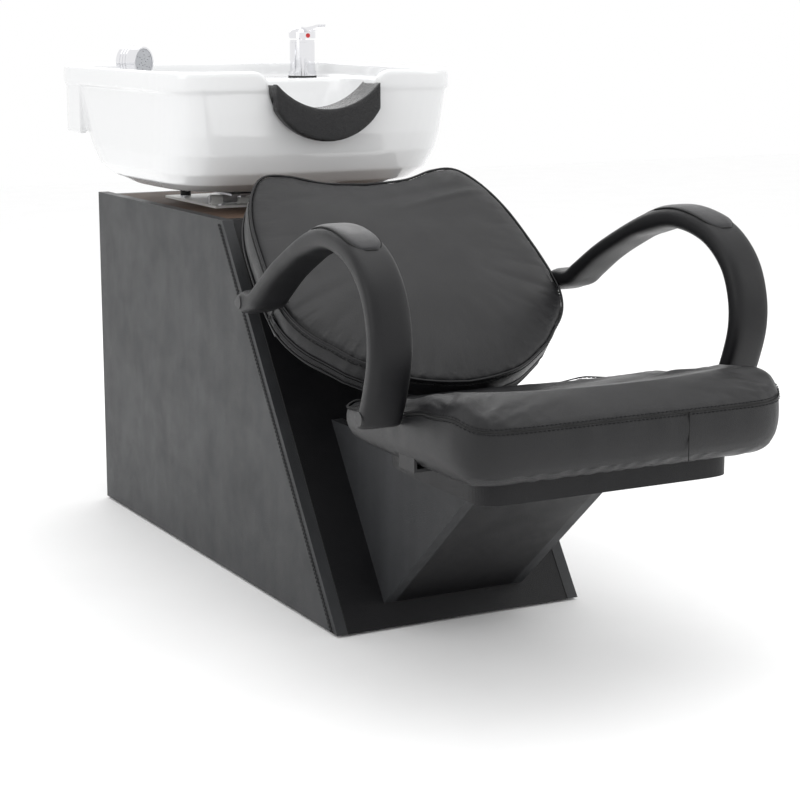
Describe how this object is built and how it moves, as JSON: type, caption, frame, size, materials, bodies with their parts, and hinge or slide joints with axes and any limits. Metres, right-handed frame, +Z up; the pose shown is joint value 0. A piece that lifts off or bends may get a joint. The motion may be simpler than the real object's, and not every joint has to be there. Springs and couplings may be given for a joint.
{
  "type": "shampoo backwash unit",
  "caption": "Salon backwash unit: padded seat, reclined backrest and looped armrests on a slanted upholstered cabinet with a tilting white basin, lever tap and hand shower.",
  "frame": {"origin": "on the floor, below the centre of the overall box", "axes": "+X to the sitter's left, +Y from the seat towards the basin, +Z up"},
  "size_m": [0.6, 1.4, 0.838],
  "materials": {
    "leatherette": "satin, fine grain",
    "leatherette_dark": "satin",
    "cushion": "leatherette over foam, satin",
    "panel_board": "raw board",
    "timber": "raw softwood",
    "zinc_steel": "zinc plated",
    "black_steel": "matt powder coat",
    "white_steel": "gloss powder coat",
    "black_plastic": "matt",
    "arm_foam": "satin self-skinned foam",
    "zip_cloth": "woven",
    "zip_metal": "dark metal",
    "ceramic": "white glaze",
    "neck_gel": "gloss, pebbled",
    "black_rubber": "matt",
    "nylon": "matt",
    "chrome": "polished",
    "white_plastic": "gloss",
    "brass": "machined",
    "index_mark": "gloss, red",
    "grey_plastic": "satin"
  },
  "bodies": {
    "base": {"cabinet_side_left": "leatherette", "cabinet_side_right": "leatherette", "cabinet_ramp_board": "leatherette_dark", "cabinet_floor_board": "panel_board", "cabinet_top_board": "panel_board", "cabinet_battens": "timber", "rear_access_panel": "leatherette", "rear_panel_screws": "zinc_steel", "floor_glides": "black_plastic", "plinth_side_left": "leatherette", "plinth_side_right": "leatherette", "plinth_front_board": "leatherette_dark", "plinth_rails": "timber", "plinth_bolts": "zinc_steel", "seat_bolts": "zinc_steel", "seat_board": "panel_board", "seat_cushion": "cushion", "back_board": "panel_board", "back_cushion": "cushion", "back_brackets": "black_steel", "back_bolts": "zinc_steel", "zip_tape": "zip_cloth", "armrest_left": "arm_foam", "armrest_right": "arm_foam", "arm_pad_left": "arm_foam", "arm_pad_right": "arm_foam", "arm_brackets": "black_steel", "arm_bolts": "zinc_steel", "arm_bolt_caps": "black_plastic", "tilt_base_plate": "white_steel", "tilt_pins": "zinc_steel", "tilt_stops": "black_rubber", "tilt_screws": "zinc_steel"},
    "basin_unit": {"basin": "ceramic", "basin_pads": "black_rubber", "basin_bolts": "zinc_steel", "tilt_cradle": "zinc_steel", "tilt_bushes": "nylon", "waste_flange": "chrome", "waste_gasket": "black_rubber", "waste_body": "white_plastic", "waste_nut": "brass", "tap_gasket": "black_rubber", "tap_body": "chrome", "tap_cartridge": "nylon", "tap_shank": "brass", "tap_tails": "brass", "tap_nut": "brass", "shower_collar": "chrome", "shower_collar_nut": "brass"},
    "tap_swivel": {"tap_stem": "chrome"},
    "tap_handle": {"tap_lever": "chrome", "tap_index_button": "index_mark"},
    "hand_shower": {"shower_body": "chrome", "shower_face": "grey_plastic"},
    "strainer": {"waste_strainer": "chrome"},
    "neck_cushion": {"neck_rest": "neck_gel"},
    "zip_runner": {"zip_slider": "zip_metal"},
    "zip_tab": {"zip_pull": "zip_metal"}
  },
  "joints": [
    {"name": "basin_tilt", "type": "hinge", "parent": "base", "child": "basin_unit", "pos_m": [0, 0.36, 0.5585], "axis": [1, 0, 0], "range_deg": [-3, 10]},
    {"name": "tap_swivel_turn", "type": "hinge", "parent": "basin_unit", "child": "tap_swivel", "pos_m": [0.175, 0.618, 0.8], "axis": [0, 0, 1], "range_deg": [-50, 50]},
    {"name": "tap_handle_lift", "type": "hinge", "parent": "tap_swivel", "child": "tap_handle", "pos_m": [0.175, 0.618, 0.819], "axis": [-1, 0, 0], "range_deg": [0, 25]},
    {"name": "hand_shower_pull", "type": "slide", "parent": "basin_unit", "child": "hand_shower", "axis": [0, 0, 1], "range_m": [0, 0.09]},
    {"name": "strainer_lift", "type": "slide", "parent": "basin_unit", "child": "strainer", "axis": [0, 0, 1], "range_m": [0, 0.03]},
    {"name": "neck_cushion_lift", "type": "slide", "parent": "basin_unit", "child": "neck_cushion", "axis": [0, 0, 1], "range_m": [0, 0.06]},
    {"name": "zip_run", "type": "hinge", "parent": "base", "child": "zip_runner", "pos_m": [0.10736, -0.121, 0.43254], "axis": [0, -0.6252, 0.7804], "range_deg": [-40, 0]},
    {"name": "zip_tab_swing", "type": "hinge", "parent": "zip_runner", "child": "zip_tab", "pos_m": [0.23367, -0.13136, 0.42424], "axis": [0, -0.6252, 0.7804], "range_deg": [0, 150]}
  ]
}
